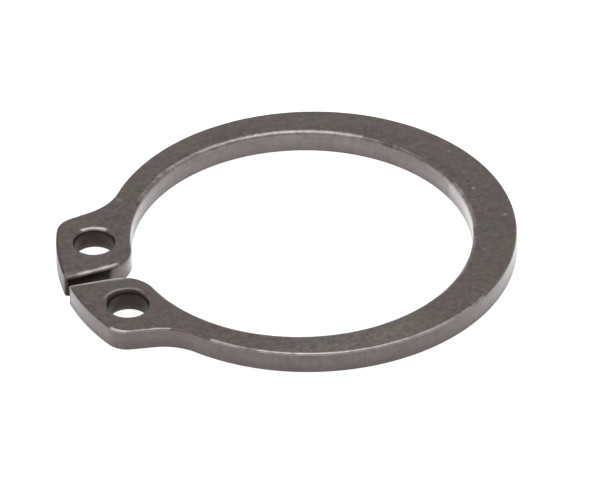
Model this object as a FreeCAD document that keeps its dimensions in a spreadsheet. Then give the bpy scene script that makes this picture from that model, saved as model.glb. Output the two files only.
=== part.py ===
"""External snap ring for a 20 mm shaft, stamped as one piece from flat spring steel.

The frame is the ring's own: Z is the shaft's axis, the origin is the centre of the free bore on the flat
underside, and the gap between the two ears points along -X. The punch came down on the upper side, so
the upper edges are rolled over and the lower edges are sharp.
"""

import FreeCAD, Part
import Sketcher
import os
from math import acos, cos, pi, radians, sin, sqrt, tan
from types import SimpleNamespace

Vector = FreeCAD.Vector
ORIGIN = Vector(0, 0, 0)
UP = Vector(0, 0, 1)
EXACT = 1e-6

# Each driving dimension in millimetres or degrees, with what it measures
DIMENSIONS = [
    ("free_diameter", 18.5, "bore of the ring off its shaft"),
    ("thickness", 1.2, "strip thickness"),
    ("band_wide", 2.43, "width of the band opposite the gap"),
    ("band_narrow", 1.4, "width that the band tapers to at the gap"),
    ("ear_height", 4.1, "ears from the bore, beside the gap"),
    ("ear_arc_shift", 0.65, "centre of the ears' outer arc from the centre of the bore, towards the gap"),
    ("hole_diameter", 2.2, "plier hole"),
    ("hole_height", 2.0, "centre of a plier hole from the bore"),
    ("hole_offset", 3.01, "centre of a plier hole from the middle of the gap"),
    ("flank_offset", 2.52, "flank of the ear from the centre of its hole"),
    ("flank_angle", 10.3, "flank of the ear against the middle of the gap"),
    ("gap_width", 0.74, "gap as far out as the plier holes"),
    ("gap_taper", 3.4, "lean of each gap face, which narrows the gap outwards"),
    ("gap_corner_radius", 2.0, "round from the bore into the gap"),
    ("shoulder_radius", 1.35, "round outer corner of the ear"),
    ("neck_radius", 3.2, "hollow from the band into the ear"),
    ("inner_roll", 0.25, "rolled upper edge of the bore and the gap"),
    ("outer_roll", 0.1, "rolled upper edge of the band and the ears"),
    ("hole_roll", 0.2, "rolled upper edge of a plier hole"),
]

# What the sketches work out from the cells
FORMULAS = {
    "outer_radius": "(Sizes.free_diameter + Sizes.band_wide + Sizes.band_narrow) / 2",
    "outer_shift": "(Sizes.band_wide - Sizes.band_narrow) / 2",
    "ear_arc_radius": "Sizes.free_diameter / 2 + Sizes.ear_height - Sizes.ear_arc_shift",
    "pitch_radius": "Sizes.free_diameter / 2 + Sizes.hole_height",
    "flank_angle": "Sizes.flank_angle * 1 deg",
    "gap_taper": "Sizes.gap_taper * 1 deg",
    "gap_reach": "Sizes.free_diameter / 2 + Sizes.ear_height + Sizes.thickness",
}


def write_sizes(doc):
    """Fills a sheet with the dimensions and gives them back as plain numbers."""
    sheet = doc.addObject("Spreadsheet::Sheet", "Sizes")
    for row, (name, value, meaning) in enumerate(DIMENSIONS, start=1):
        sheet.set(f"A{row}", meaning)
        sheet.set(f"B{row}", str(value))
        sheet.setAlias(f"B{row}", name)
    doc.recompute()
    return SimpleNamespace(**{name: value for name, value, _ in DIMENSIONS})


def mirrored(point):
    """The same place on the other ear."""
    return Vector(point.x, -point.y, point.z)


class Profile:
    """A sketch on the underside of the ring, whose dimensions are bound to the sheet."""

    def __init__(self, body, name):
        self.sketch = body.newObject("Sketcher::SketchObject", name)
        plane = next(f for f in body.Origin.OriginFeatures if f.Role == "XY_Plane")
        self.sketch.AttachmentSupport = [(plane, "")]
        self.sketch.MapMode = "FlatFace"

    def draw(self, curve):
        return self.sketch.addGeometry(curve, False)

    def draw_guide(self, curve):
        return self.sketch.addGeometry(curve, True)

    def tie(self, kind, *where):
        self.sketch.addConstraint(Sketcher.Constraint(kind, *where))

    def measure(self, name, value, kind, *where):
        """Adds a dimension with its first value and binds it to its formula, or else to its cell."""
        index = self.sketch.addConstraint(Sketcher.Constraint(kind, *where, value))
        self.sketch.renameConstraint(index, name)
        self.sketch.setExpression(f"Constraints.{name}", FORMULAS.get(name, f"Sizes.{name}"))


def outer_circle(body, size):
    """The band's outer circle, shifted away from the gap so that the band is widest opposite it."""
    shift = (size.band_wide - size.band_narrow) / 2
    radius = (size.free_diameter + size.band_wide + size.band_narrow) / 2

    profile = Profile(body, "OuterCircle")
    circle = profile.draw(Part.Circle(Vector(shift, 0, 0), UP, radius))
    profile.tie("PointOnObject", circle, 3, -1)
    profile.measure("outer_shift", shift, "DistanceX", -1, 1, circle, 3)
    profile.measure("outer_radius", radius, "Radius", circle)
    return profile.sketch


def hole_centre(size):
    """Centre of the plier hole in the ear on the +Y side."""
    pitch_radius = size.free_diameter / 2 + size.hole_height
    return Vector(-sqrt(pitch_radius**2 - size.hole_offset**2), size.hole_offset, 0)


def ear_blank(body, size):
    """Both ears as one blank: an outer arc and two straight flanks that run into the band."""
    radius = size.free_diameter / 2 + size.ear_height - size.ear_arc_shift
    lean = radians(size.flank_angle)
    along = Vector(cos(lean), sin(lean), 0)
    outwards = Vector(-sin(lean), cos(lean), 0)
    hole = hole_centre(size)
    flank = hole + outwards * size.flank_offset
    centre = Vector(-size.ear_arc_shift, 0, 0)
    from_centre = flank - centre
    half_chord = sqrt(radius**2 - from_centre.dot(outwards) ** 2)
    corner = flank - along * (from_centre.dot(along) + half_chord)
    root = Vector(0, flank.y - flank.x * tan(lean), 0)
    start = acos((corner.x - centre.x) / radius)

    profile = Profile(body, "EarBlank")
    arc = profile.draw(Part.ArcOfCircle(Part.Circle(centre, UP, radius), start, 2 * pi - start))
    high = profile.draw(Part.LineSegment(corner, root))
    low = profile.draw(Part.LineSegment(mirrored(corner), mirrored(root)))
    closing = profile.draw(Part.LineSegment(root, mirrored(root)))
    spoke = profile.draw_guide(Part.LineSegment(ORIGIN, hole))
    profile.tie("Coincident", arc, 1, high, 1)
    profile.tie("Coincident", arc, 2, low, 1)
    profile.tie("Coincident", high, 2, closing, 1)
    profile.tie("Coincident", low, 2, closing, 2)
    profile.tie("Coincident", spoke, 1, -1, 1)
    profile.tie("PointOnObject", high, 2, -2)
    profile.tie("Symmetric", high, 1, low, 1, -1)
    profile.tie("Symmetric", high, 2, low, 2, -1)
    profile.measure("ear_arc_shift", size.ear_arc_shift, "DistanceX", arc, 3, -1, 1)
    profile.measure("ear_arc_radius", radius, "Radius", arc)
    profile.measure("pitch_radius", hole.Length, "Distance", spoke)
    profile.measure("hole_offset", size.hole_offset, "DistanceY", spoke, 1, spoke, 2)
    profile.measure("flank_offset", size.flank_offset, "Distance", spoke, 2, high)
    profile.measure("flank_angle", lean, "Angle", high)
    return profile.sketch


def bore_circle(body, size):
    """The free bore, round the origin."""
    profile = Profile(body, "BoreCircle")
    circle = profile.draw(Part.Circle(ORIGIN, UP, size.free_diameter / 2))
    profile.tie("Coincident", circle, 3, -1, 1)
    profile.measure("free_diameter", size.free_diameter, "Diameter", circle)
    return profile.sketch


def gap_wedge(body, size):
    """The gap between the ears, from the middle of the bore to past the ears."""
    lean = radians(size.gap_taper)
    pitch_radius = hole_centre(size).Length
    reach = size.free_diameter / 2 + size.ear_height + size.thickness
    at_holes = Vector(-pitch_radius, size.gap_width / 2, 0)
    inner = Vector(0, at_holes.y + pitch_radius * tan(lean), 0)
    outer = Vector(-reach, inner.y - reach * tan(lean), 0)

    profile = Profile(body, "GapWedge")
    high = profile.draw(Part.LineSegment(outer, inner))
    low = profile.draw(Part.LineSegment(mirrored(outer), mirrored(inner)))
    inner_end = profile.draw(Part.LineSegment(inner, mirrored(inner)))
    outer_end = profile.draw(Part.LineSegment(outer, mirrored(outer)))
    across = profile.draw_guide(Part.LineSegment(mirrored(at_holes), at_holes))
    profile.tie("Coincident", high, 2, inner_end, 1)
    profile.tie("Coincident", low, 2, inner_end, 2)
    profile.tie("Coincident", high, 1, outer_end, 1)
    profile.tie("Coincident", low, 1, outer_end, 2)
    profile.tie("PointOnObject", high, 2, -2)
    profile.tie("Symmetric", high, 1, low, 1, -1)
    profile.tie("Symmetric", high, 2, low, 2, -1)
    profile.tie("Symmetric", across, 1, across, 2, -1)
    profile.tie("PointOnObject", across, 2, high)
    profile.measure("pitch_radius", pitch_radius, "DistanceX", across, 2, -1, 1)
    profile.measure("gap_width", size.gap_width, "Distance", across)
    profile.measure("gap_taper", lean, "Angle", high)
    profile.measure("gap_reach", reach, "DistanceX", high, 1, -1, 1)
    return profile.sketch


def plier_circles(body, size):
    """One plier hole in each ear."""
    hole = hole_centre(size)

    profile = Profile(body, "PlierCircles")
    high = profile.draw(Part.Circle(hole, UP, size.hole_diameter / 2))
    low = profile.draw(Part.Circle(mirrored(hole), UP, size.hole_diameter / 2))
    spoke = profile.draw_guide(Part.LineSegment(ORIGIN, hole))
    profile.tie("Coincident", spoke, 1, -1, 1)
    profile.tie("Coincident", spoke, 2, high, 3)
    profile.tie("Symmetric", high, 3, low, 3, -1)
    profile.tie("Equal", high, low)
    profile.measure("pitch_radius", hole.Length, "Distance", spoke)
    profile.measure("hole_offset", size.hole_offset, "DistanceY", spoke, 1, spoke, 2)
    profile.measure("hole_diameter", size.hole_diameter, "Diameter", high)
    return profile.sketch


def pad(body, name, sketch):
    """Raises a profile from the underside by the strip's thickness."""
    feature = body.newObject("PartDesign::Pad", name)
    feature.Profile = sketch
    feature.setExpression("Length", "Sizes.thickness")
    body.Document.recompute()
    return feature


def punch(body, name, sketch):
    """Cuts a profile upwards through the strip and makes sure that it took metal away."""
    before = body.Shape.Volume
    feature = body.newObject("PartDesign::Pocket", name)
    feature.Profile = sketch
    feature.Type = "ThroughAll"
    feature.Reversed = True
    body.Document.recompute()
    if feature.Shape.Volume >= before:
        raise RuntimeError(f"{name} cut nothing")
    return feature


def fillet(body, name, edges, radius_name):
    """Rounds the named edges of the body's last feature, and what runs on tangent from them."""
    if not edges:
        raise RuntimeError(f"{name} found no edge")
    base = body.Tip
    feature = body.newObject("PartDesign::Fillet", name)
    feature.Base = (base, edges)
    feature.setExpression("Radius", f"Sizes.{radius_name}")
    body.Document.recompute()
    return feature


def upright_edges(shape, sketch):
    """Edges along Z where a flat face meets the round wall that the sketch's circle left."""
    radius = sketch.Geometry[0].Radius
    names = []
    for number, edge in enumerate(shape.Edges, start=1):
        if not isinstance(edge.Curve, Part.Line) or abs(edge.Curve.Direction.z) < 0.99:
            continue
        surfaces = [face.Surface for face in shape.ancestorsOfType(edge, Part.Face)]
        flat = any(isinstance(s, Part.Plane) for s in surfaces)
        round_wall = any(isinstance(s, Part.Cylinder) and abs(s.Radius - radius) < EXACT for s in surfaces)
        if flat and round_wall:
            names.append(f"Edge{number}")
    return names


def upper_arcs(shape, sketch, height):
    """Edges that the sketch's circle left on the upper face."""
    radius = sketch.Geometry[0].Radius
    names = []
    for number, edge in enumerate(shape.Edges, start=1):
        if edge.Degenerated or not isinstance(edge.Curve, Part.Circle):
            continue
        if abs(edge.Curve.Radius - radius) < EXACT and abs(edge.Curve.Center.z - height) < EXACT:
            names.append(f"Edge{number}")
    return names


def build_snap_ring(doc, size):
    """Blanks the band and the ears, punches the bore, gap and plier holes, and rounds the edges."""
    body = doc.addObject("PartDesign::Body", "SnapRing")
    body.Label = "snap_ring"

    band = outer_circle(body, size)
    pad(body, "Band", band)
    ears = ear_blank(body, size)
    pad(body, "Ears", ears)
    fillet(body, "Necks", upright_edges(body.Shape, band), "neck_radius")
    fillet(body, "Shoulders", upright_edges(body.Shape, ears), "shoulder_radius")

    bore = bore_circle(body, size)
    punch(body, "Bore", bore)
    punch(body, "Gap", gap_wedge(body, size))
    fillet(body, "GapCorners", upright_edges(body.Shape, bore), "gap_corner_radius")
    holes = plier_circles(body, size)
    punch(body, "PlierHoles", holes)

    fillet(body, "HoleRolls", upper_arcs(body.Shape, holes, size.thickness), "hole_roll")
    fillet(body, "InnerRoll", upper_arcs(body.Shape, bore, size.thickness), "inner_roll")
    fillet(body, "OuterRoll", upper_arcs(body.Shape, band, size.thickness), "outer_roll")
    body.Placement = FreeCAD.Placement()
    return body


def check(doc, body):
    """Stops before anything is written if a feature failed or the ring isn't one sound solid."""
    doc.recompute()
    failed = [item.Label for item in doc.Objects if {"Invalid", "Error"} & set(item.State)]
    if failed:
        raise RuntimeError(f"failed: {failed}")
    if body.Shape.isNull() or not body.Shape.isValid() or len(body.Shape.Solids) != 1:
        raise RuntimeError(f"{body.Label} isn't one sound solid")


document = FreeCAD.newDocument("SnapRing")
sizes = write_sizes(document)
ring = build_snap_ring(document, sizes)
check(document, ring)
os.makedirs("parts", exist_ok=True)
ring.Shape.exportStep(os.path.join("parts", f"{ring.Label}.step"))
print(ring.Label, "volume", round(ring.Shape.Volume, 3), "box", ring.Shape.BoundBox)
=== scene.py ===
"""External snap ring for a 20 mm shaft, stamped from spring steel, phosphated and oiled, on a white sweep.

The frame is the ring's own: Z is the shaft's axis, the origin is the centre of the bore on the underside,
and the gap between the two ears points along -X.
"""

import logging
from collections.abc import Callable
from dataclasses import dataclass
from enum import Enum
from math import atan2, ceil, cos, degrees, hypot, pi, radians, sin, sqrt

import bpy
from bpy.types import Material, Node, NodeSocket, NodeTree, Object, World
from mathutils import Matrix, Vector
from mathutils.noise import noise


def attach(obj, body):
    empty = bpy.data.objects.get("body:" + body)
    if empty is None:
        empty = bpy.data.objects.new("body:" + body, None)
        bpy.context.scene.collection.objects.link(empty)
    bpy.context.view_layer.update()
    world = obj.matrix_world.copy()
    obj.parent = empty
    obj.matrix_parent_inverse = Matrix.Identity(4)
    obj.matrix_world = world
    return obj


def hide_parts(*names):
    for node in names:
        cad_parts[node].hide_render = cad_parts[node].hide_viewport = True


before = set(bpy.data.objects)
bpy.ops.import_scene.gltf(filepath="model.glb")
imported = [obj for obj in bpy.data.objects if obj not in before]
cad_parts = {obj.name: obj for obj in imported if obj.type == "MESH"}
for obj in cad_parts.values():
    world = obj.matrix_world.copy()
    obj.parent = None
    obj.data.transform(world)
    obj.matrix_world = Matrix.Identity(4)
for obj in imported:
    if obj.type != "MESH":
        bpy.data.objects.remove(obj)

LOG = logging.getLogger("snap_ring")
MM = 0.001
UP = Vector((0.0, 0.0, 1.0))
# A surface that faces up by more than FLAT is a flat face, and one by less than UPRIGHT is a wall.
FLAT = 0.9999
UPRIGHT = 0.05
# Places nearer to each other than HAIR count as one.
HAIR = 0.01 * MM
CUT_TOLERANCE = 1e-8
Colour = tuple[float, float, float]
Span = tuple[float, float]


class Ray(Enum):
    """Rays that see the white sweep as plain white."""

    CAMERA = "Is Camera Ray"
    GLOSSY = "Is Glossy Ray"
    TRANSMISSION = "Is Transmission Ray"


def smooth_step(value: float, low: float, high: float) -> float:
    """Rises smoothly from 0 to 1 as the value goes from low to high."""
    share = min(max((value - low) / (high - low), 0.0), 1.0)
    return share * share * (3.0 - 2.0 * share)


def at(angle: float, radius: float) -> Vector:
    """Place in millimetres, by its angle from the widest place and its distance from the bore's middle."""
    return Vector((radius * cos(radians(angle)), radius * sin(radians(angle)), 0.0))


def direction(azimuth: float, elevation: float) -> Vector:
    """Way out from the ring as a unit vector, by degrees round the shaft from -Y and degrees upwards."""
    turn, rise = radians(azimuth), radians(elevation)
    return Vector((sin(turn) * cos(rise), -cos(turn) * cos(rise), sin(rise)))


def cloud(place: Vector) -> float:
    """Cloudy noise from 0 to 1 at a place, with clouds about one unit wide."""
    return 0.5 + 0.5 * noise(place)


class Bench:
    """Blender's own tools, called the way a hand would use them."""

    @staticmethod
    def clear() -> None:
        """Closes the piece on the bench and leaves nothing selected."""
        if bpy.context.object and bpy.context.object.mode != "OBJECT":
            bpy.ops.object.mode_set(mode="OBJECT")
        bpy.ops.object.select_all(action="DESELECT")

    @staticmethod
    def take(piece: Object) -> None:
        """Makes one piece the only one selected and the active one.

        Args:
            piece: The object to work on.
        """
        Bench.clear()
        piece.select_set(True)
        bpy.context.view_layer.objects.active = piece

    @staticmethod
    def edit(piece: Object, wanted: Callable[[bpy.types.MeshPolygon], bool] | None = None) -> None:
        """Opens a piece for editing with the wanted faces selected.

        Args:
            piece: The mesh object to edit.
            wanted: Says of a face whether it is selected. Without it, everything is.
        """
        Bench.take(piece)
        bpy.ops.object.mode_set(mode="EDIT")
        if wanted is None:
            bpy.ops.mesh.select_all(action="SELECT")
            return
        bpy.ops.mesh.select_mode(type="FACE")
        bpy.ops.mesh.select_all(action="DESELECT")
        bpy.ops.object.mode_set(mode="OBJECT")
        for face in piece.data.polygons:
            face.select = wanted(face)
        bpy.ops.object.mode_set(mode="EDIT")

    @staticmethod
    def apply(piece: Object, kind: str, name: str, **settings: object) -> None:
        """Adds a modifier, sets it and applies it.

        Args:
            piece: The mesh object that is changed.
            kind: The modifier's type.
            name: What the step is called.
            **settings: Values of the modifier's properties.
        """
        Bench.take(piece)
        modifier = piece.modifiers.new(name, kind)
        for key, value in settings.items():
            setattr(modifier, key, value)
        bpy.ops.object.modifier_apply(modifier=modifier.name)


class OutlineTracer:
    """Draws an outline on the floor plane as a chain of edges, arc by arc and line by line."""

    def __init__(self, name: str, start: Vector, spacing: float) -> None:
        """Puts the first point down.

        Args:
            name: Name of the new object.
            start: Where the outline starts.
            spacing: Largest distance between two points of it.
        """
        Bench.clear()
        bpy.ops.mesh.primitive_plane_add(size=spacing)
        self.piece = bpy.context.object
        self.piece.name = self.piece.data.name = name
        self.spacing = spacing
        self.here = start.copy()
        bpy.ops.object.mode_set(mode="EDIT")
        bpy.ops.mesh.select_all(action="SELECT")
        bpy.ops.mesh.merge(type="CENTER")
        bpy.ops.transform.translate(value=start)

    def arc(self, centre: Vector, end: Vector, steps: int = 0) -> None:
        """Goes on round a centre, the shorter way.

        Args:
            centre: Centre of the arc.
            end: Point that the arc reaches, as far from the centre as the present one.
            steps: Number of edges, or 0 to fit the tracer's spacing.
        """
        a, b = self.here - centre, end - centre
        angle = atan2(a.x * b.y - a.y * b.x, a.x * b.x + a.y * b.y)
        steps = steps or ceil(abs(angle) * b.length / self.spacing)
        bpy.ops.mesh.spin(steps=steps, angle=-angle, center=centre, axis=UP)
        self.here = end.copy()

    def line(self, end: Vector, steps: int = 0) -> None:
        """Goes on straight.

        Args:
            end: Point that the line reaches.
            steps: Number of edges, or 0 to fit the tracer's spacing.
        """
        steps = steps or ceil((end - self.here).length / self.spacing)
        stride = (end - self.here) / steps
        for _ in range(steps):
            bpy.ops.mesh.extrude_region_move(TRANSFORM_OT_translate={"value": stride})
        self.here = end.copy()


class NodeSheet:
    """A node tree with short calls for its nodes and links."""

    def __init__(self, tree: NodeTree) -> None:
        """Takes the tree of a material, a world or a group, to add nodes to it."""
        self.tree = tree

    @staticmethod
    def empty(owner: Material | World) -> "NodeSheet":
        """Gives a material or a world an empty tree.

        Args:
            owner: The new material or world.

        Returns:
            The sheet of its tree.
        """
        owner.use_nodes = True
        owner.node_tree.nodes.clear()
        return NodeSheet(owner.node_tree)

    def fill(self, socket: NodeSocket, value: object) -> None:
        """Sets a socket, or links it if the value is an output.

        Args:
            socket: The input to set.
            value: A number, a colour, a vector or another node's output.
        """
        if isinstance(value, NodeSocket):
            self.tree.links.new(value, socket)
        elif isinstance(value, (tuple, Vector)) and socket.type == "RGBA":
            socket.default_value = (*value, 1.0)
        else:
            socket.default_value = value

    def add(self, kind: str, inputs: dict[str | int, object], **settings: object) -> Node:
        """Adds a node.

        Args:
            kind: The node's type, without its ShaderNode prefix.
            inputs: Values of its inputs, by name or by number.
            **settings: Values of the node's own properties.

        Returns:
            The new node.
        """
        node = self.tree.nodes.new(f"ShaderNode{kind}")
        for key, value in settings.items():
            setattr(node, key, value)
        for key, value in inputs.items():
            self.fill(node.inputs[key], value)
        return node

    def calculate(self, operation: str, *values: object) -> NodeSocket:
        """Works out one number from others, by an operation of the Math node."""
        return self.add("Math", dict(enumerate(values)), operation=operation).outputs[0]

    def times(self, first: object, second: object) -> NodeSocket:
        """Multiplies two numbers."""
        return self.calculate("MULTIPLY", first, second)

    def plus(self, first: object, second: object) -> NodeSocket:
        """Adds two numbers."""
        return self.calculate("ADD", first, second)

    def minus(self, first: object, second: object) -> NodeSocket:
        """Takes the second number from the first."""
        return self.calculate("SUBTRACT", first, second)

    def between(self, share: object, first: object, second: object) -> NodeSocket:
        """Goes from the first number to the second as the share goes from 0 to 1."""
        return self.add("Mix", {0: share, 2: first, 3: second}).outputs[0]

    def vector(self, operation: str, first: object, second: object, result: str | int = 0) -> NodeSocket:
        """Works out a vector, or the result that is asked for, from two vectors."""
        return self.add("VectorMath", {0: first, 1: second}, operation=operation).outputs[result]

    def rise(
        self, value: object, low: object, high: object, bottom: float = 0.0, top: float = 1.0
    ) -> NodeSocket:
        """Rises smoothly from bottom to top as the value goes from low to high."""
        inputs = {"Value": value, "From Min": low, "From Max": high, "To Min": bottom, "To Max": top}
        return self.add("MapRange", inputs, interpolation_type="SMOOTHSTEP").outputs[0]

    def grain(self, vector: object, scale: float, detail: float = 2.0, roughness: float = 0.5) -> NodeSocket:
        """Cloudy noise from 0 to 1, where the scale is the number of clouds per unit."""
        inputs = {"Vector": vector, "Scale": scale, "Detail": detail, "Roughness": roughness}
        return self.add("TexNoise", inputs).outputs["Fac"]

    def blend(self, share: object, first: object, second: object, kind: str = "MIX") -> NodeSocket:
        """Goes from the first colour to the second as the share goes from 0 to 1."""
        node = self.add("Mix", {0: share, 6: first, 7: second}, data_type="RGBA", blend_type=kind)
        return node.outputs[2]

    def group(self, tree: NodeTree, **inputs: object) -> Node:
        """Places a node group.

        Args:
            tree: The group's tree.
            **inputs: Values of its inputs, by name.

        Returns:
            The group's node.
        """
        node = self.tree.nodes.new("ShaderNodeGroup")
        node.node_tree = tree
        for key, value in inputs.items():
            self.fill(node.inputs[key], value)
        return node


class Effect:
    """A node group that puts out one mask, made once and placed where it is needed."""

    def __init__(self, name: str, vectors: list[str], numbers: dict[str, float]) -> None:
        """Makes the group's tree and its sockets.

        Args:
            name: The group's name.
            vectors: Names of the inputs that take a vector.
            numbers: First values of the inputs that take a number, by name.
        """
        self.tree = bpy.data.node_groups.new(name, "ShaderNodeTree")
        for key in vectors:
            self.tree.interface.new_socket(key, in_out="INPUT", socket_type="NodeSocketVector")
        for key, value in numbers.items():
            socket = self.tree.interface.new_socket(key, in_out="INPUT", socket_type="NodeSocketFloat")
            socket.default_value = value
        self.tree.interface.new_socket("Mask", in_out="OUTPUT", socket_type="NodeSocketFloat")
        self.sheet = NodeSheet(self.tree)
        self.given = self.tree.nodes.new("NodeGroupInput").outputs
        self.result = self.tree.nodes.new("NodeGroupOutput").inputs

    def give(self, mask: NodeSocket) -> NodeTree:
        """Puts the mask out and hands over the group's finished tree."""
        self.tree.links.new(mask, self.result["Mask"])
        return self.tree


def scratch_effect() -> NodeTree:
    """Makes long thin scratches in one direction, broken where a coarse noise is low.

    Returns:
        The group's tree, which puts out Mask.
    """
    effect = Effect("fine_scratches", ["Place"], {"Turn": 0.0, "Reach": 0.68, "Spread": 9.0})
    sheet, given = effect.sheet, effect.given
    inputs = {"Vector": given["Place"], "Angle": given["Turn"]}
    turned = sheet.add("VectorRotate", inputs, rotation_type="Z_AXIS").outputs[0]
    drawn = sheet.vector("MULTIPLY", turned, (0.35, 1.0, 1.0))
    lines = sheet.grain(drawn, given["Spread"], 1.0)
    aside = sheet.calculate("ABSOLUTE", sheet.minus(lines, 0.5))
    thin = sheet.rise(aside, 0.0, 0.012, 1.0, 0.0)
    patches = sheet.rise(sheet.grain(turned, 0.9, 2.0), given["Reach"], 0.85)
    return effect.give(sheet.times(thin, patches))


def speck_effect() -> NodeTree:
    """Makes small round spots, one in a few cells.

    Returns:
        The group's tree, which puts out Mask.
    """
    effect = Effect("small_spots", ["Place"], {"Density": 1.0, "Radius": 0.05, "Rarity": 0.8})
    sheet, given = effect.sheet, effect.given
    cells = sheet.add("TexVoronoi", {"Vector": given["Place"], "Scale": given["Density"]})
    size = sheet.times(given["Radius"], given["Density"])
    spot = sheet.rise(cells.outputs["Distance"], sheet.times(size, 0.5), size, 1.0, 0.0)
    chance = sheet.add("SeparateColor", {"Color": cells.outputs["Color"]}).outputs[0]
    chosen = sheet.calculate("GREATER_THAN", chance, given["Rarity"])
    return effect.give(sheet.times(spot, chosen))


def flat_mark_effect() -> NodeTree:
    """Makes one soft spot or line with a frayed border, at a given place seen from above.

    Returns:
        The group's tree, which puts out Mask.
    """
    effect = Effect("single_flat_mark", ["Place", "Start", "Along"], {"Radius": 0.1})
    sheet, given = effect.sheet, effect.given
    along = given["Along"]
    seen = sheet.vector("MULTIPLY", given["Place"], (1.0, 1.0, 0.0))
    off = sheet.vector("SUBTRACT", seen, given["Start"])
    passed = sheet.vector("DOT_PRODUCT", off, along, "Value")
    whole = sheet.vector("DOT_PRODUCT", along, along, "Value")
    step = sheet.add("Math", {0: passed, 1: whole}, operation="DIVIDE", use_clamp=True).outputs[0]
    nearest = sheet.add("VectorMath", {0: along, "Scale": step}, operation="SCALE").outputs[0]
    away = sheet.vector("DISTANCE", off, nearest, "Value")
    frayed = sheet.rise(sheet.grain(given["Place"], 9.0), 0.2, 0.8, 0.6, 1.3)
    size = sheet.times(given["Radius"], frayed)
    return effect.give(sheet.rise(away, sheet.times(size, 0.4), size, 1.0, 0.0))


def hole_highlight_effect() -> NodeTree:
    """Makes a painted highlight, a soft light rim on the far side of a hole.

    Returns:
        The group's tree, which puts out Mask.
    """
    effect = Effect("painted_hole_highlight", ["Place", "Centre"], {"Radius": 1.3, "Width": 0.1})
    sheet, given = effect.sheet, effect.given
    seen = sheet.vector("MULTIPLY", given["Place"], (1.0, 1.0, 0.0))
    off = sheet.vector("SUBTRACT", seen, given["Centre"])
    away = sheet.add("VectorMath", {0: off}, operation="LENGTH").outputs["Value"]
    aside = sheet.calculate("ABSOLUTE", sheet.minus(away, given["Radius"]))
    ring = sheet.rise(aside, 0.0, given["Width"], 1.0, 0.0)
    back = sheet.calculate("DIVIDE", sheet.add("SeparateXYZ", {0: off}).outputs["Y"], away)
    broken = sheet.rise(sheet.grain(given["Place"], 2.6), 0.35, 0.55, 0.55, 1.0)
    behind = sheet.times(sheet.rise(back, 0.55, 0.92), broken)
    return effect.give(sheet.times(ring, behind))


@dataclass(frozen=True)
class FlatMark:
    """A spot or line on the flat faces: a bright rub, a rust mark, a painted sheen or a painted highlight,
    in degrees and millimetres as for a place.

    The line runs from the place by the given step in X and Y. A spot has almost none.
    """

    angle: float
    radius: float
    size: float
    amount: float
    bright: bool = True
    along: tuple[float, float] = (0.01, 0.0)


BRIGHT_SPOTS = (
    FlatMark(24, 10.9, 0.13, 0.16),
    FlatMark(13, 10.4, 0.13, 0.14),
    FlatMark(4, 10.1, 0.15, 0.24),
    FlatMark(-11, 11.1, 0.14, 0.38),
    FlatMark(144, 10.4, 0.24, 0.12),
)
RUST_SPOTS = (
    FlatMark(10, 11.2, 0.17, 0.7, bright=False),
    FlatMark(-38, 10.0, 0.18, 0.7, bright=False),
    FlatMark(-49, 9.8, 0.16, 0.6, bright=False),
    FlatMark(-55, 9.5, 0.14, 0.5, bright=False),
)
# Painted sheen: the front of the upper face made a little lighter.
PAINTED_FRONT_SHEEN = FlatMark(-101, 10.5, 3.5, 0.05, along=(3.5, 0.2))
# A bright line along the near ear's gap edge: wear with a painted highlight.
NEAR_GAP_WEAR_AND_HIGHLIGHT = FlatMark(-178, 12.96, 0.12, 0.50, along=(2.5, -0.3))
FLAT_MARKS = (*BRIGHT_SPOTS, *RUST_SPOTS, PAINTED_FRONT_SHEEN, NEAR_GAP_WEAR_AND_HIGHLIGHT)


class Rim(Enum):
    """Round edges of the upper face that are rubbed in places, with painted highlights along them."""

    BORE = "bore"
    BAND = "band"
    FAR_HOLE = "far plier hole"


@dataclass(frozen=True)
class WornHighlight:
    """A stretch of a rim rubbed bright, with a painted highlight, in degrees round the rim's own centre."""

    rim: Rim
    start: float
    end: float
    amount: float
    reach: float = 0.35
    steep_only: bool = False

    def share(self, place: Vector, centre: Vector, radius: float) -> float:
        """How far the stretch takes in a place.

        Args:
            place: A point of the surface, in millimetres.
            centre: Centre of the rim, in millimetres.
            radius: Radius of the rim, in millimetres.

        Returns:
            A number from 0 to the stretch's amount.
        """
        off = place.xy - centre.xy
        angle = degrees(atan2(off.y, off.x))
        beyond = radians(max(self.start - angle, angle - self.end, 0.0)) * radius
        return self.amount * smooth_step(hypot(off.length - radius, beyond), self.reach, 0.6 * self.reach)


@dataclass(frozen=True)
class ScrapedHighlight:
    """A straight stretch of upper edge rubbed bright, with a painted highlight, between two places in mm."""

    start: tuple[float, float]
    end: tuple[float, float]
    amount: float
    reach: float = 0.35

    def share(self, place: Vector) -> float:
        """How far the stretch takes in a place.

        Args:
            place: A point of the surface, in millimetres.

        Returns:
            A number from 0 to the stretch's amount.
        """
        start, along = Vector(self.start), Vector(self.end) - Vector(self.start)
        off = place.xy - start
        step = min(max(off.dot(along) / along.length_squared, 0.0), 1.0)
        return self.amount * smooth_step((off - along * step).length, self.reach, 0.6 * self.reach)


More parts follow.
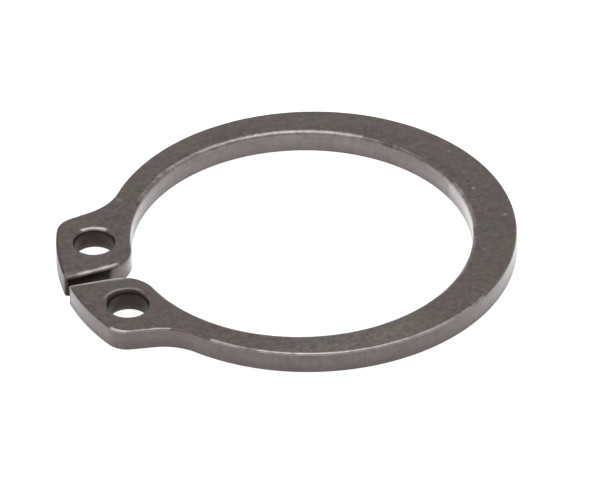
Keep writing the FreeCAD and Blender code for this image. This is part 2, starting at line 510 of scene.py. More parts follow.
# Stretches of the rims rubbed bright, with painted highlights along them.
FRONT_WORN_HIGHLIGHTS = (
    WornHighlight(Rim.BAND, -136, -130, 0.60),
    WornHighlight(Rim.BAND, -128, -123, 0.30),
    WornHighlight(Rim.BAND, -122, -114, 0.66),
    WornHighlight(Rim.BAND, -112, -111, 0.80, 0.25),
    WornHighlight(Rim.BAND, -110, -99, 0.74),
    WornHighlight(Rim.BAND, -98, -69, 0.60),
    WornHighlight(Rim.BAND, -69, -57, 0.45),
    WornHighlight(Rim.BAND, -54, -53, 0.40, 0.28),
)
BORE_WORN_HIGHLIGHTS = (
    WornHighlight(Rim.BORE, 106, 126, 0.30, 0.50),
    WornHighlight(Rim.BORE, 89, 106, 0.42, 0.50),
    WornHighlight(Rim.BORE, 61, 89, 0.52, 0.50),
    WornHighlight(Rim.BORE, 53, 61, 0.40, 0.50),
    WornHighlight(Rim.BORE, 23, 53, 0.34, 0.50, steep_only=True),
    WornHighlight(Rim.BORE, 13, 23, 0.60, 0.50, steep_only=True),
    WornHighlight(Rim.BORE, -13, 13, 0.95, 0.50, steep_only=True),
)
HOLE_WORN_HIGHLIGHTS = (WornHighlight(Rim.FAR_HOLE, 51, 95, 0.60),)
WORN_HIGHLIGHTS = (*FRONT_WORN_HIGHLIGHTS, *BORE_WORN_HIGHLIGHTS, *HOLE_WORN_HIGHLIGHTS)
# Straight stretches of upper edge rubbed bright, with painted highlights along them.
EAR_SCRAPED_HIGHLIGHTS = (
    ScrapedHighlight((-12.3, -5.0), (-11.9, -5.2), 0.90),
    ScrapedHighlight((-11.9, -5.2), (-10.6, -5.55), 0.45),
    ScrapedHighlight((-10.3, -5.55), (-9.6, -5.7), 0.50),
)
GAP_SCRAPED_HIGHLIGHTS = (
    ScrapedHighlight((-12.9, -0.45), (-10.5, -0.7), 0.95, 0.45),
    ScrapedHighlight((-13.2, 0.45), (-10.9, 0.6), 0.45, 0.40),
    ScrapedHighlight((-10.6, 0.5), (-10.3, 0.45), 0.45, 0.30),
)
SCRAPED_HIGHLIGHTS = (*EAR_SCRAPED_HIGHLIGHTS, *GAP_SCRAPED_HIGHLIGHTS)
# Painted sheen on the bore's wall at the widest place, on top of its burnish.
BURNISHED_WALL_SHEEN = WornHighlight(Rim.BORE, -11, 8, 1.0, 0.7)
# Less of the general wear and painted highlight on the bore's rim here.
DULL_BACK = WornHighlight(Rim.BORE, 15, 48, 0.7, 1.2)
NICKS = (at(42, 9.3), at(40, 9.3))


class WearAndLightMap(Enum):
    """Numbers from 0 to 1 that each point of the piece carries for its finish."""

    WORN_AND_HIGHLIT = "worn"
    SOOT_AND_SHADE = "grime"
    TORN = "torn"
    BURNISHED_AND_SHEEN = "burnished_and_sheen"


class SteelPatterns:
    """What the steel's colour, sheen and relief are worked out from, all read on the piece itself."""

    def __init__(self, sheet: NodeSheet) -> None:
        """Reads the piece and lays the patterns over it.

        Args:
            sheet: The material's tree.
        """
        self.sheet = sheet
        place = sheet.add("TexCoord", {})
        lean = sheet.add("SeparateXYZ", {0: place.outputs["Normal"]}).outputs["Z"]
        self.millimetres = sheet.vector("MULTIPLY", place.outputs["Object"], (1 / MM, 1 / MM, 1 / MM))
        self.wall = sheet.rise(sheet.calculate("ABSOLUTE", lean), 0.30, 0.85, 1.0, 0.0)
        self.flat = sheet.minus(1.0, self.wall)
        self.worn, self.grime, self.torn, self.burnished_and_sheen = (
            sheet.add("Attribute", {}, attribute_name=wear_and_paint_light.value).outputs["Fac"] for wear_and_paint_light in WearAndLightMap
        )

        moved = sheet.vector("ADD", self.millimetres, (31.0, 17.0, 5.0))
        along_strip = sheet.vector("MULTIPLY", self.millimetres, (0.5, 6.0, 1.0))
        down_wall = sheet.vector("MULTIPLY", self.millimetres, (6.0, 6.0, 0.5))
        self.clouds = sheet.grain(self.millimetres, 0.55, 3.0, 0.55)
        self.second_clouds = sheet.grain(moved, 1.1, 4.0, 0.65)
        self.mottle = sheet.grain(moved, 3.2, 4.0, 0.62)
        self.crystals = sheet.grain(self.millimetres, 11.0, 3.0, 0.6)
        self.strip = sheet.grain(along_strip, 1.0, 3.0, 0.6)
        self.streaks = sheet.grain(down_wall, 1.0, 3.0, 0.6)
        # Bare steel where the coat is worn through, with painted highlights along the rolled edges.
        self.rubbed_and_highlit = sheet.times(self.worn, sheet.rise(self.mottle, 0.30, 0.62, 0.75, 1.0))

        scratches = scratch_effect()
        scored: object = 0.0
        for turn, reach, spread in ((0.35, 0.50, 4.0), (1.9, 0.56, 3.0), (2.7, 0.58, 6.0)):
            run = sheet.group(scratches, Place=self.millimetres, Turn=turn, Reach=reach, Spread=spread)
            scored = sheet.calculate("MAXIMUM", scored, run.outputs[0])
        self.scored = sheet.times(scored, self.flat)
        spots = speck_effect()
        self.specks = sheet.group(
            spots, Place=self.millimetres, Density=0.9, Radius=0.075, Rarity=0.82
        ).outputs[0]
        self.pits = sheet.group(spots, Place=moved, Density=1.6, Radius=0.085, Rarity=0.84).outputs[0]


@dataclass(frozen=True)
class PhosphatedSteel:
    """Dark satin finish of a stamped spring: a thin oiled phosphate coat that is worn off the edges.

    It reads the piece's maps: worn and highlit, where the coat is rubbed through and highlights are painted
    along the rolled edges, soot and shade, painted shade with some oil and soot in the plier holes and the
    gap, painted shade on the ears' tips and darker nicks, torn, where the strip broke off, and burnished and
    sheen, where the punch rubbed its wall bright, with a painted sheen on the wall at the widest place.
    """

    face: Colour = (0.076, 0.054, 0.049)
    olive: Colour = (0.074, 0.063, 0.042)
    slate: Colour = (0.052, 0.052, 0.057)
    sheared: Colour = (0.117, 0.089, 0.084)
    broken: Colour = (0.103, 0.080, 0.075)
    # Burnished wall, also the colour of the painted sheen on the bore's wall.
    burnished_and_sheen: Colour = (0.330, 0.278, 0.280)
    # Bare steel, also the colour of the painted highlights and sheen.
    bare_steel_and_highlight: Colour = (0.430, 0.392, 0.398)
    # Painted shade with some soot: the dark of the plier holes, the gap and the ears' tips.
    soot_and_shade_colour: Colour = (0.030, 0.018, 0.015)
    pit: Colour = (0.025, 0.020, 0.018)
    rust: Colour = (0.130, 0.068, 0.052)
    metallic: float = 0.92
    face_roughness: float = 0.42
    wall_roughness: float = 0.32
    bare_roughness: float = 0.30
    torn_roughness: float = 0.08
    grime_roughness: float = 0.15
    face_oil: float = 0.5
    wall_oil: float = 1.0
    oil_roughness: float = 0.22
    oil_ior: float = 1.47
    scratch_share: float = 0.16
    speck_share: float = 0.2
    pit_share: float = 0.6
    # Painted highlight on the far rim of the near plier hole.
    hole_highlight_share: float = 0.48
    hole_highlight_radius: float = 1.37
    hole_highlight_width: float = 0.13
    relief: float = 0.02 * MM
    relief_strength: float = 0.30

    def coat(self, seen: SteelPatterns) -> NodeSocket:
        """Colours the coat, the stamped walls and the places that are rubbed bright, which carry painted
        highlights.

        Args:
            seen: The piece's patterns.

        Returns:
            The colour's output.
        """
        sheet = seen.sheet
        faces = sheet.blend(sheet.rise(seen.clouds, 0.48, 0.68, 0.0, 0.8), self.face, self.olive)
        faces = sheet.blend(sheet.rise(seen.second_clouds, 0.52, 0.70, 0.0, 0.8), faces, self.slate)
        walls = sheet.blend(seen.torn, self.sheared, self.broken)
        walls = sheet.blend(sheet.rise(seen.second_clouds, 0.48, 0.7, 0.0, 0.4), walls, self.slate)
        walls = sheet.blend(seen.burnished_and_sheen, walls, self.burnished_and_sheen)
        return sheet.blend(seen.rubbed_and_highlit, sheet.blend(seen.wall, faces, walls), self.bare_steel_and_highlight)

    def marked(self, seen: SteelPatterns, colour: NodeSocket, hole: Vector) -> NodeSocket:
        """Puts scratches, specks, pits, stains, a painted sheen and painted highlights on a colour, one of
        them round the far rim of a hole.

        Args:
            seen: The piece's patterns.
            colour: The colour's output.
            hole: Centre of the hole with the painted highlight, in millimetres.

        Returns:
            The marked colour's output.
        """
        sheet = seen.sheet
        colour = sheet.blend(sheet.times(seen.scored, self.scratch_share), colour, self.bare_steel_and_highlight)
        colour = sheet.blend(sheet.times(seen.specks, self.speck_share), colour, self.bare_steel_and_highlight)
        colour = sheet.blend(sheet.times(seen.pits, self.pit_share), colour, self.pit)
        flat_mark = flat_mark_effect()
        for spot in FLAT_MARKS:
            ends = {"Start": at(spot.angle, spot.radius), "Along": Vector((*spot.along, 0.0))}
            mask = sheet.group(flat_mark, Place=seen.millimetres, Radius=spot.size, **ends).outputs[0]
            share = sheet.times(mask, sheet.times(seen.flat, spot.amount))
            colour = sheet.blend(share, colour, self.bare_steel_and_highlight if spot.bright else self.rust)
        size = {"Radius": self.hole_highlight_radius, "Width": self.hole_highlight_width}
        hole_highlight = sheet.group(hole_highlight_effect(), Place=seen.millimetres, Centre=hole, **size).outputs[0]
        return sheet.blend(sheet.times(hole_highlight, self.hole_highlight_share), colour, self.bare_steel_and_highlight)

    def toned(self, seen: SteelPatterns, colour: NodeSocket) -> NodeSocket:
        """Makes a colour uneven, in spots on the faces and in upright lines on the walls, and darkens it
        with painted shade and some soot.

        Args:
            seen: The piece's patterns.
            colour: The colour's output.

        Returns:
            The finished colour's output.
        """
        sheet = seen.sheet
        spotted = sheet.rise(seen.mottle, 0.28, 0.72, 0.72, 1.30)
        spotted = sheet.times(spotted, sheet.rise(seen.crystals, 0.25, 0.75, 0.85, 1.15))
        spotted = sheet.times(spotted, sheet.rise(seen.strip, 0.3, 0.7, 0.93, 1.07))
        lined = sheet.rise(seen.streaks, 0.3, 0.7, 0.93, 1.07)
        tone = sheet.between(sheet.times(seen.wall, 0.6), spotted, lined)
        tone = sheet.between(seen.rubbed_and_highlit, tone, 1.0)
        tint = sheet.add("CombineColor", {0: tone, 1: tone, 2: tone}).outputs[0]
        # Painted shade with some soot darkens the plier holes, the gap, the ears' tips and the nicks.
        return sheet.blend(seen.grime, sheet.blend(1.0, colour, tint, "MULTIPLY"), self.soot_and_shade_colour)

    def roughness(self, seen: SteelPatterns) -> NodeSocket:
        """Works out how rough the surface is.

        Args:
            seen: The piece's patterns.

        Returns:
            The roughness's output.
        """
        sheet = seen.sheet
        rough = sheet.between(seen.wall, self.face_roughness, self.wall_roughness)
        rough = sheet.between(seen.rubbed_and_highlit, rough, self.bare_roughness)
        rough = sheet.plus(rough, sheet.times(seen.torn, self.torn_roughness))
        rough = sheet.plus(rough, sheet.rise(seen.clouds, 0.3, 0.7, -0.04, 0.04))
        rough = sheet.plus(rough, sheet.rise(seen.mottle, 0.3, 0.7, -0.05, 0.06))
        return sheet.plus(rough, sheet.times(seen.grime, self.grime_roughness))

    def normal(self, seen: SteelPatterns) -> NodeSocket:
        """Gives the surface its fine relief.

        Args:
            seen: The piece's patterns.

        Returns:
            The normal's output.
        """
        sheet = seen.sheet
        height = sheet.plus(sheet.times(seen.crystals, 0.5), sheet.times(seen.mottle, 0.6))
        height = sheet.minus(height, sheet.times(seen.scored, 0.4))
        height = sheet.minus(height, seen.pits)
        lined = sheet.plus(sheet.times(seen.streaks, 0.6), height)
        height = sheet.between(seen.wall, height, lined)
        bump = {"Strength": self.relief_strength, "Distance": self.relief, "Height": height}
        return sheet.add("Bump", bump).outputs[0]

    def material(self, hole: Vector) -> Material:
        """Makes the finish.

        Args:
            hole: Centre of the hole with the painted highlight, in millimetres.

        Returns:
            The material, which reads the piece's own coordinates, normals and its wear and painted light
            maps.
        """
        material = bpy.data.materials.new("phosphated_spring_steel")
        sheet = NodeSheet.empty(material)
        seen = SteelPatterns(sheet)
        colour = self.marked(seen, self.coat(seen), hole)
        oil = sheet.between(seen.wall, self.face_oil, self.wall_oil)
        surface = sheet.add(
            "BsdfPrincipled",
            {
                "Base Color": self.toned(seen, colour),
                "Roughness": self.roughness(seen),
                "Metallic": self.metallic,
                "Coat Weight": sheet.times(oil, sheet.rise(seen.grime, 0.0, 1.0, 1.0, 0.2)),
                "Coat Roughness": self.oil_roughness,
                "Coat IOR": self.oil_ior,
                "Normal": self.normal(seen),
            },
        )
        sheet.add("OutputMaterial", {"Surface": surface.outputs[0]})
        return material


@dataclass(frozen=True)
class WhiteSweep:
    """White board under and round the ring, which looks plain white and still takes its shadow."""

    size: float = 3.0
    below: float = 0.01 * MM
    shade: float = 0.8
    glow: float = 0.72

    def white_rays(self, sheet: NodeSheet) -> NodeSocket:
        """Says whether a ray is one that sees plain white.

        Args:
            sheet: The tree that asks.

        Returns:
            An output that is 1 for those rays.
        """
        path = sheet.add("LightPath", {}).outputs
        found = path[Ray.CAMERA.value]
        for kind in (Ray.GLOSSY, Ray.TRANSMISSION):
            found = sheet.calculate("MAXIMUM", found, path[kind.value])
        return found

    def material(self) -> Material:
        """Makes the board's finish.

        Returns:
            A matt white that also glows for the camera and for reflections.
        """
        material = bpy.data.materials.new("white_board")
        sheet = NodeSheet.empty(material)
        paper = sheet.grain(sheet.add("TexCoord", {}).outputs["Object"], 400.0, 2.0)
        white = sheet.blend(sheet.rise(paper, 0.3, 0.7), (self.shade,) * 3, (self.shade - 0.01,) * 3)
        matt = sheet.add("BsdfDiffuse", {"Color": white}).outputs[0]
        lit = sheet.add("Emission", {"Strength": sheet.times(self.white_rays(sheet), self.glow)}).outputs[0]
        both = sheet.add("AddShader", {0: matt, 1: lit}).outputs[0]
        sheet.add("OutputMaterial", {"Surface": both})
        return material

    def build(self) -> Object:
        """Lays the board under the ring.

        Returns:
            The board.
        """
        Bench.clear()
        bpy.ops.mesh.primitive_plane_add(size=self.size, location=(0.0, 0.0, -self.below))
        board = bpy.context.object
        board.name = board.data.name = "white_board"
        board.data.materials.append(self.material())
        return board


@dataclass(frozen=True)
class SoftLight:
    """A square light box that faces the ring."""

    name: str
    azimuth: float
    elevation: float
    distance: float
    size: float
    radiance: float

    def build(self) -> Object:
        """Hangs the light.

        Returns:
            The light object.
        """
        away = direction(self.azimuth, self.elevation)
        light = bpy.data.lights.new(self.name, "AREA")
        light.shape = "SQUARE"
        light.size = self.size
        light.energy = self.radiance * pi * self.size**2
        lamp = bpy.data.objects.new(self.name, light)
        bpy.context.scene.collection.objects.link(lamp)
        lamp.location = away * self.distance
        lamp.rotation_euler = away.to_track_quat("Z", "Y").to_euler()
        return lamp


@dataclass(frozen=True)
class Studio:
    """White surroundings that are darker in front, a light box overhead and one in front."""

    far_side: float = 1.0
    near_side: float = 0.62
    fill: float = 0.26
    dark_azimuth: float = -18.0
    dark_elevation: float = 40.0
    lights: tuple[SoftLight, ...] = (
        SoftLight("overhead_box", 162.0, 84.0, 0.30, 0.26, 2.5),
        SoftLight("front_box", -60.0, 35.0, 0.45, 0.16, 1.0),
    )

    def build(self, sweep: WhiteSweep) -> None:
        """Sets the surroundings and hangs the lights.

        Args:
            sweep: The board, whose white rays also see the surroundings.
        """
        scene = bpy.context.scene
        scene.view_settings.view_transform = "Standard"
        scene.world = bpy.data.worlds.new("white_room")
        sheet = NodeSheet.empty(scene.world)
        dark_way = direction(self.dark_azimuth, self.dark_elevation)
        ray = sheet.add("TexCoord", {}).outputs["Generated"]
        toward = sheet.vector("DOT_PRODUCT", ray, dark_way, "Value")
        seen = sheet.rise(toward, 0.25, 0.85, self.far_side, self.near_side)
        strength = sheet.between(sweep.white_rays(sheet), self.fill, seen)
        room = sheet.add("Background", {"Color": (1.0, 1.0, 1.0), "Strength": strength}).outputs[0]
        sheet.add("OutputWorld", {"Surface": room})
        for light in self.lights:
            light.build()


@dataclass(frozen=True)
class Viewpoint:
    """The photograph's camera, level with no shift, and where it has the middle of the bore."""

    azimuth: float = -18.0
    elevation: float = 36.26
    roll: float = -0.93
    distance: float = 0.555
    lens: float = 614.3
    sensor: float = 36.0
    frame_size: tuple[int, int] = (600, 480)
    bore_in_frame: tuple[float, float] = (302.05, 250.17)

    def build(self) -> Object:
        """Places the camera.

        Returns:
            The camera object, set as the scene's own.
        """
        turn, bank = radians(self.azimuth), radians(self.roll)
        back = direction(self.azimuth, self.elevation)
        right = Vector((cos(turn), sin(turn), 0.0))
        over = back.cross(right)
        right, over = cos(bank) * right + sin(bank) * over, cos(bank) * over - sin(bank) * right
        width, height = self.frame_size
        pixel = self.distance * self.sensor / (self.lens * width)
        sideways = (width / 2 - self.bore_in_frame[0]) * pixel
        upwards = (self.bore_in_frame[1] - height / 2) * pixel

        data = bpy.data.cameras.new("camera")
        data.lens, data.sensor_width = self.lens, self.sensor
        data.clip_start, data.clip_end = 0.01, 10.0
        camera = bpy.data.objects.new("camera", data)
        bpy.context.scene.collection.objects.link(camera)
        place = back * self.distance + right * sideways + over * upwards
        turned = Matrix((right, over, back)).transposed().to_4x4()
        camera.matrix_world = Matrix.Translation(place) @ turned
        bpy.context.scene.camera = camera
        return camera


@dataclass(frozen=True)
class Use:
    """How use has rubbed and soiled the ring, and where highlights and shade are painted on it. A span is
    where something rises from none to all of it.

    Spans are in millimetres: as heights, as places along X, as distances, or from the middle of the bore.
    """

    # Where the wear and painted highlights along the rolled edges are spread, and how strongly.
    outer_rim: Span = (9.9, 10.4)
    ears: Span = (-6.0, -8.5)
    ears_spared: float = 0.9
    bore_level: float = 0.40
    outer_level: float = 0.15
    face_line: Span = (1.085, 1.12)
    wall_level: float = 0.07
    wall_clouds: float = 0.22
    # How the painted sheen on the bore's wall fades towards the bottom.
    low_wall: float = 0.35
    bright_wall: Span = (0.3, 0.9)
    # Painted shade, with some soot, in the plier holes: its spread round the near hole, its start and its
    # foot.
    near_spread: float = 0.06
    near_back_spread: float = 0.12
    hole_shade_and_soot: Span = (0.16, 0.05)
    hole_foot: Span = (0.0, 0.45)
    hole_foot_shade_and_soot: float = 0.60
    # Painted shade, with some soot, in the gap.
    gap_shade_and_soot: Span = (0.24, 0.12)
    gap_start: Span = (-10.5, -10.9)
    gap_top: Span = (1.15, 1.0)
    # Darker at the nicks.
    nick_darkening: float = 0.5
    nick_reach: Span = (0.22, 0.10)
    nick_height: Span = (1.03, 1.12)
    # Painted shade on the ears' tips, stronger on the far ear.
    tips: Span = (-12.2, -12.9)
    far_tip_shade: float = 0.6
    near_tip_shade: float = 0.14
    break_height: float = 0.52
    break_wave: float = 0.22
    break_line: Span = (-0.10, 0.16)


@dataclass
class SnapRing:
    """The ring: an eccentric band with a gap, and two ears with plier holes, stamped in one stroke."""

    node: str = "snap_ring"
    body: str = "root"
    slot: str = "spring_steel"
    thickness: float = 1.2 * MM
    bore_radius: float = 9.25 * MM
    band_radius: float = 11.165 * MM
    band_shift: float = 0.515 * MM
    ear_arc_radius: float = 12.7 * MM
    ear_arc_shift: float = 0.65 * MM
    pitch_radius: float = 11.25 * MM
    hole_radius: float = 1.1 * MM
    hole_offset: float = 3.01 * MM
    flank_offset: float = 2.52 * MM
    flank_angle: float = 10.3
    gap_width: float = 0.74 * MM
    gap_taper: float = 3.4
    gap_corner_radius: float = 2.0 * MM
    shoulder_radius: float = 1.35 * MM
    neck_radius: float = 3.2 * MM
    inner_roll: float = 0.25 * MM
    outer_roll: float = 0.10 * MM
    hole_roll: float = 0.2 * MM
    mouth_round: float = 0.22 * MM
    spacing: float = 0.08 * MM
    border: float = 0.06 * MM
    clear_of_mouth: float = 0.40 * MM
    roll_steps: int = 8
    hole_points: int = 120
    wall_rows: int = 13
    rows_under_roll: tuple[float, ...] = (0.94 * MM, 1.0 * MM, 1.06 * MM)
    wear_depth: float = 0.022 * MM
    smooth_angle: float = 35.0
    use: Use = Use()
    finish: PhosphatedSteel = PhosphatedSteel()

    def rounding_centre(
        self, on_line: Vector, normal: Vector, radius: float, middle: Vector, reach: float
    ) -> Vector:
        """Centre of a round between a line and a circle, the one nearer to the ears.

        Args:
            on_line: A point of the line.
            normal: Unit vector across the line, towards the round's centre.
            radius: The round's radius, which is how far its centre is from the line.
            middle: The circle's centre.
            reach: How far the round's centre is from the circle's.

        Returns:
            The round's centre.
        """
        along = Vector((normal.y, -normal.x, 0.0))
        start = on_line + normal * radius - middle
        half = start.dot(along)
        root = sqrt(half * half - start.length_squared + reach * reach)
        ends = [middle + start + along * (-half + side * root) for side in (-1, 1)]
        return min(ends, key=lambda point: point.x)

    def trace_half(self) -> Object:
        """Traces the outline of the half with the far ear, from the widest place round to the bore.

        Returns:
            The half outline, as edges on the floor plane.
        """
        band = Vector((self.band_shift, 0.0, 0.0))
        crown = Vector((-self.ear_arc_shift, 0.0, 0.0))
        bore = Vector((0.0, 0.0, 0.0))
        lean, taper = radians(self.flank_angle), radians(self.gap_taper)
        outwards = Vector((-sin(lean), cos(lean), 0.0))
        inwards = Vector((-sin(taper), cos(taper), 0.0))
        flank = self.hole_centre() + outwards * self.flank_offset
        gap = Vector((-self.pitch_radius, self.gap_width / 2, 0.0))

        neck_reach = self.band_radius + self.neck_radius
        neck = self.rounding_centre(flank, outwards, self.neck_radius, band, neck_reach)
        shoulder = self.rounding_centre(
            flank, -outwards, self.shoulder_radius, crown, self.ear_arc_radius - self.shoulder_radius
        )
        corner = self.rounding_centre(
            gap, inwards, self.gap_corner_radius, bore, self.bore_radius + self.gap_corner_radius
        )
        mouth = self.rounding_centre(gap, inwards, 0.0, crown, self.ear_arc_radius)
        short = Matrix.Rotation(-self.clear_of_mouth / self.ear_arc_radius, 3, "Z")
        before_mouth = crown + short @ (mouth - crown)
        along_gap = Vector((cos(taper), sin(taper), 0.0))

        tracer = OutlineTracer("stamped_ring", band + Vector((self.band_radius, 0.0, 0.0)), self.spacing)
        tracer.arc(band, band + (neck - band).normalized() * self.band_radius)
        tracer.arc(neck, neck - outwards * self.neck_radius)
        tracer.line(shoulder + outwards * self.shoulder_radius)
        tracer.arc(shoulder, crown + (shoulder - crown).normalized() * self.ear_arc_radius)
        tracer.arc(crown, before_mouth)
        tracer.arc(crown, mouth, 1)
        tracer.line(mouth + along_gap * self.clear_of_mouth, 1)
        tracer.line(corner - inwards * self.gap_corner_radius)
        tracer.arc(corner, corner.normalized() * self.bore_radius)
        tracer.arc(bore, Vector((self.bore_radius, 0.0, 0.0)))
        Bench.clear()
        return tracer.piece

    def hole_centre(self) -> Vector:
        """Centre of the far ear's plier hole, on the underside."""
        return Vector((-sqrt(self.pitch_radius**2 - self.hole_offset**2), self.hole_offset, 0.0))

    def raise_blank(self, piece: Object) -> None:
        """Fills the outline and raises it by the strip's thickness.

        Args:
            piece: The whole outline.
        """
        Bench.edit(piece)
        bpy.ops.mesh.edge_face_add()
        bpy.ops.mesh.extrude_region_move(TRANSFORM_OT_translate={"value": UP * self.thickness})
        bpy.ops.mesh.select_all(action="SELECT")
        bpy.ops.mesh.normals_make_consistent(inside=False)
        Bench.clear()

    def punch_hole(self, piece: Object, place: Vector) -> None:
        """Punches a plier hole through the blank.

        Args:
            piece: The blank.
            place: The hole's centre.
        """
        Bench.clear()
        bpy.ops.mesh.primitive_cylinder_add(
            vertices=self.hole_points,
            radius=self.hole_radius,
            depth=3 * self.thickness,
            location=place + UP * self.thickness / 2,
        )
        punch = bpy.context.object
        Bench.apply(piece, "BOOLEAN", "PlierHole", operation="DIFFERENCE", solver="EXACT", object=punch)
        bpy.data.objects.remove(punch)

    def roll_radius(self, place: Vector) -> float:
        """Radius of the rolled edge at a place on the outline.

        Args:
            place: Middle of an upper edge.

        Returns:
            The radius there.
        """
        mirrored = Vector((place.x, abs(place.y), 0.0))
        if (mirrored - self.hole_centre()).length < 1.05 * self.hole_radius:
            return self.hole_roll
        at_gap = place.x < 0 and abs(place.y) < self.gap_corner_radius + self.gap_width / 2
        off_crown = hypot(place.x + self.ear_arc_shift, place.y) < self.ear_arc_radius - HAIR
        at_bore = hypot(place.x, place.y) < self.bore_radius + HAIR
        return self.inner_roll if at_bore or (at_gap and off_crown) else self.outer_roll

    def roll_edges(self, piece: Object) -> None:
        """Rounds the upper edges, and the upright ones at the gap's mouth.

        Args:
            piece: The punched blank.
        """
        mesh = piece.data
        mouth_reach = self.ear_arc_radius - HAIR
        weights = mesh.attributes.new("bevel_weight_edge", "FLOAT", "EDGE").data
        normals: dict[tuple[int, int], list[float]] = {}
        for face in mesh.polygons:
            for key in face.edge_keys:
                normals.setdefault(key, []).append(face.normal.z)
        for edge in mesh.edges:
            first, second = (mesh.vertices[i].co for i in edge.vertices)
            middle = (first + second) / 2
            upper = min(first.z, second.z) > self.thickness - HAIR
            rim = any(z < 0.5 for z in normals[edge.key])
            upright = abs(first.z - second.z) > self.thickness / 2
            on_crown = hypot(middle.x + self.ear_arc_shift, middle.y) > mouth_reach
            near_gap = abs(middle.y) < self.gap_width / 2 + HAIR
            if upper and rim:
                weights[edge.index].value = self.roll_radius(middle) / self.inner_roll
            elif upright and on_crown and near_gap:
                weights[edge.index].value = self.mouth_round / self.inner_roll
        Bench.apply(
            piece,
            "BEVEL",
            "RolledEdges",
            limit_method="WEIGHT",
            width=self.inner_roll,
            segments=self.roll_steps,
            use_clamp_overlap=False,
        )

    def divide(self, piece: Object) -> None:
        """Adds a border to the flat faces and rows to the walls, for even shading and for the wear.

        Args:
            piece: The ring with its rolled edges.
        """
        Bench.edit(piece, lambda face: abs(face.normal.z) > FLAT)
        bpy.ops.mesh.inset(thickness=self.border, use_even_offset=True)
        top = self.thickness - self.inner_roll
        for row in range(1, self.wall_rows):
            bpy.ops.mesh.select_all(action="SELECT")
            height = top * row / self.wall_rows
            bpy.ops.mesh.bisect(plane_co=UP * height, plane_no=UP, threshold=CUT_TOLERANCE)
        for height in self.rows_under_roll:
            Bench.edit(piece, lambda face: abs(face.normal.z) < UPRIGHT)
            bpy.ops.mesh.bisect(plane_co=UP * height, plane_no=UP, threshold=CUT_TOLERANCE)
        Bench.clear()

    def rim_circle(self, rim: Rim) -> tuple[Vector, float]:
        """Circle along the middle of a rolled rim.

        Args:
            rim: The rim.

        Returns:
            Its centre and its radius, in millimetres.
        """
        circles = {
            Rim.BORE: (Vector((0.0, 0.0, 0.0)), self.bore_radius + 0.6 * self.inner_roll),
            Rim.BAND: (Vector((self.band_shift, 0.0, 0.0)), self.band_radius - 0.5 * self.outer_roll),
            Rim.FAR_HOLE: (self.hole_centre(), self.hole_radius + self.hole_roll),
        }
        centre, radius = circles[rim]
        return centre / MM, radius / MM

    def rubbed_and_highlit(self, place: Vector, tilt: float) -> float:
        """How far the coat is rubbed off a rolled edge, a little all over and more along the marks, which
        paint highlights on the rolled edges.

        Args:
            place: A point of the surface, in millimetres.
            tilt: How far the surface faces up there.

        Returns:
            A number from 0 to 1.
        """
        if place.z < 0.5 * self.thickness / MM or tilt > FLAT:
            return 0.0
        use = self.use
        outer = smooth_step(hypot(place.x, place.y), *use.outer_rim)
        along = cloud(Vector((place.x * 0.75, place.y * 0.75, 3.0)))
        fine = cloud(place * 3.5)
        dull = DULL_BACK.share(place, *self.rim_circle(DULL_BACK.rim))
        level = smooth_step(0.75 * along + 0.25 * fine, 0.30, 0.70)
        level *= use.bore_level + (use.outer_level - use.bore_level) * outer
        level *= (1.0 - use.ears_spared * smooth_step(place.x, *use.ears)) * (1.0 - dull)
        level *= smooth_step(tilt, 0.15, 0.65) * smooth_step(tilt, 1.0, 0.985)

        steep = smooth_step(tilt, 0.85, 0.60)
        # The marks paint highlights along the rolled edges, on top of the wear.
        shares = [scraped_highlight.share(place) for scraped_highlight in SCRAPED_HIGHLIGHTS]
        for worn_highlight in WORN_HIGHLIGHTS:
            shares.append(worn_highlight.share(place, *self.rim_circle(worn_highlight.rim)) * (steep if worn_highlight.steep_only else 1.0))
        mark = max(shares) * (0.80 + 0.3 * fine)
        upper = smooth_step(place.z, *use.face_line)
        mark *= outer * upper + (1.0 - outer) * smooth_step(tilt, 0.0, 0.35)
        return min(max(level, mark), 1.0)

    def burnished_and_sheen(self, place: Vector, tilt: float) -> float:
        """How bright the punch has rubbed the bore's wall, with a painted sheen on it at the widest place.

        Args:
            place: A point of the surface, in millimetres.
            tilt: How far the surface faces up there.

        Returns:
            A number from 0 to 1.
        """
        if tilt < -UPRIGHT or tilt > 0.7 or hypot(place.x, place.y) > self.bore_radius / MM + 0.2:
            return 0.0
        use = self.use
        uneven = cloud(Vector((place.x * 0.6, place.y * 0.6, place.z * 1.5)))
        bright = BURNISHED_WALL_SHEEN.share(place, *self.rim_circle(BURNISHED_WALL_SHEEN.rim))
        bright *= use.low_wall + (1.0 - use.low_wall) * smooth_step(place.z, *use.bright_wall)
        return min(use.wall_level + use.wall_clouds * uneven + bright, 1.0)

    def sooted_and_shaded(self, place: Vector) -> float:
        """How dark the plier holes, the gap, the nicks and the ears' tips are made: painted shade with some
        oil and soot in the holes and the gap, painted shade on the tips, and darker at the nicks.

        Args:
            place: A point of the surface, in millimetres.

        Returns:
            A number from 0 to 1.
        """
        use = self.use
        far_ear = place.y > 0
        hole = self.hole_centre() / MM
        off_hole = hypot(place.x - hole.x, abs(place.y) - hole.y)
        back = smooth_step((place.y + hole.y) / max(off_hole, 0.1), 0.2, 0.8)
        spread = 0.0 if far_ear else use.near_spread + use.near_back_spread * back
        off_rim = off_hole - self.hole_radius / MM - spread
        in_hole = smooth_step(off_rim, *use.hole_shade_and_soot)
        in_hole *= smooth_step(place.z, 1.15 + 0.3 * spread, 1.0 + 1.1 * spread)
        in_hole *= use.hole_foot_shade_and_soot + (1.0 - use.hole_foot_shade_and_soot) * smooth_step(place.z, *use.hole_foot)

        in_gap = smooth_step(abs(place.y) - 0.5 * self.gap_width / MM, *use.gap_shade_and_soot)
        in_gap *= smooth_step(place.x, *use.gap_start) * smooth_step(place.z, *use.gap_top)
        dark = max(in_hole, in_gap) * (0.85 + 0.15 * cloud(place * 1.7))

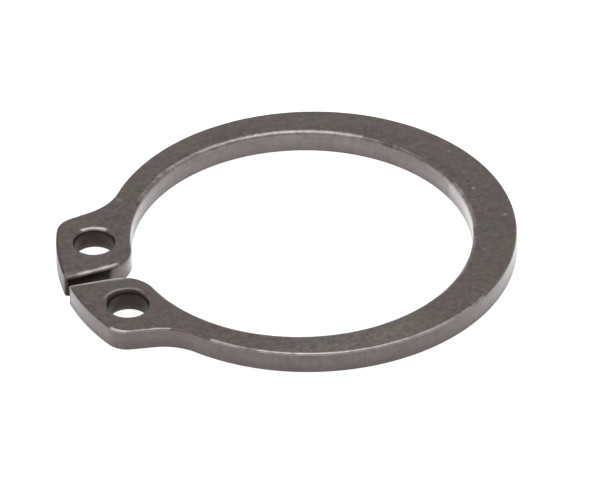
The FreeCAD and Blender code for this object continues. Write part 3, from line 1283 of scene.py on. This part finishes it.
        off_nick = min((place.xy - nick.xy).length for nick in NICKS)
        nicked = use.nick_darkening * smooth_step(off_nick, *use.nick_reach)
        nicked *= smooth_step(place.z, *use.nick_height)
        # Painted shade on the ears' tips.
        tip_shade = smooth_step(place.x, *use.tips) * (use.far_tip_shade if far_ear else use.near_tip_shade)
        return max(dark, nicked, tip_shade)

    def torn_low(self, place: Vector) -> float:
        """How far a point, in millimetres, lies in a wall's lower part, where the strip broke off."""
        ragged = self.use.break_wave * noise(Vector((place.x * 2.2, place.y * 2.2, 0.0)))
        return smooth_step(self.use.break_height + ragged - place.z, *self.use.break_line)

    def set_back(self, place: Vector, tilt: float, torn: float) -> float:
        """How much of the wear's depth a point has lost.

        Args:
            place: A point of the surface, in millimetres.
            tilt: How far the surface faces up there.
            torn: How far the point lies where the strip broke off.

        Returns:
            A number from 0 to 1.
        """
        if abs(tilt) < UPRIGHT:
            streak = cloud(Vector((place.x * 5.0, place.y * 5.0, place.z * 0.6)))
            return min(0.15 + torn * (0.25 + 0.30 * cloud(place * 7.0)) + 0.15 * streak, 1.0)
        if UPRIGHT < tilt < FLAT:
            return 0.15 + 0.5 * cloud(place * 3.1 + Vector((7.0, 3.0, 1.0)))
        on_lower_edge = -FLAT < tilt < -UPRIGHT
        return 0.25 if on_lower_edge else 0.0

    def wear_and_paint_light(self, piece: Object) -> None:
        """Sets the broken part of the walls back, makes the rolled edges uneven and lays the maps of wear,
        painted highlights and painted shade.

        Args:
            piece: The divided ring.
        """
        mesh = piece.data
        group = piece.vertex_groups.new(name="set_back")
        maps: dict[WearAndLightMap, list[float]] = {wear_and_paint_light: [] for wear_and_paint_light in WearAndLightMap}
        for vertex in mesh.vertices:
            place, tilt = vertex.co / MM, vertex.normal.z
            torn = self.torn_low(place) if abs(tilt) < UPRIGHT else 0.0
            maps[WearAndLightMap.TORN].append(torn)
            maps[WearAndLightMap.BURNISHED_AND_SHEEN].append(self.burnished_and_sheen(place, tilt))
            maps[WearAndLightMap.WORN_AND_HIGHLIT].append(self.rubbed_and_highlit(place, tilt))
            # Painted shade with some soot in the holes, the gap and on the ears' tips, and darker at the
            # nicks.
            maps[WearAndLightMap.SOOT_AND_SHADE].append(self.sooted_and_shaded(place) if abs(tilt) < 0.999 else 0.0)
            group.add([vertex.index], self.set_back(place, tilt, torn), "REPLACE")
        for wear_and_paint_light, values in maps.items():
            mesh.attributes.new(wear_and_paint_light.value, "FLOAT", "POINT").data.foreach_set("value", values)
        Bench.apply(
            piece,
            "DISPLACE",
            "Wear",
            strength=-self.wear_depth,
            mid_level=0.0,
            vertex_group=group.name,
        )

    def build(self) -> Object:
        """Models the ring and dresses it.

        Returns:
            The finished piece, which stands for the CAD node.
        """
        piece = self.trace_half()
        across = (False, True, False)
        Bench.apply(piece, "MIRROR", "NearEar", use_axis=across, merge_threshold=0.1 * HAIR)
        self.raise_blank(piece)
        far = self.hole_centre()
        near = Vector((far.x, -far.y, 0.0))
        for place in (far, near):
            self.punch_hole(piece, place)
        self.roll_edges(piece)
        self.divide(piece)
        self.wear_and_paint_light(piece)
        Bench.take(piece)
        bpy.ops.object.shade_smooth_by_angle(angle=radians(self.smooth_angle))
        piece.data.materials.clear()
        piece.data.materials.append(self.finish.material(near / MM))
        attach(piece, self.body)
        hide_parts(self.node)
        return piece


def main() -> None:
    """Builds the stage and the ring, and writes how large the model is."""
    logging.basicConfig(level=logging.INFO, format="%(name)s: %(message)s")
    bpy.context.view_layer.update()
    sweep = WhiteSweep()
    sweep.build()
    Studio().build(sweep)
    Viewpoint().build()
    LOG.info("stage: board, lights and camera are in place")
    ring = SnapRing().build()
    LOG.info("%s: %d points, %d faces", ring.name, len(ring.data.vertices), len(ring.data.polygons))


if __name__ == "__main__":
    main()
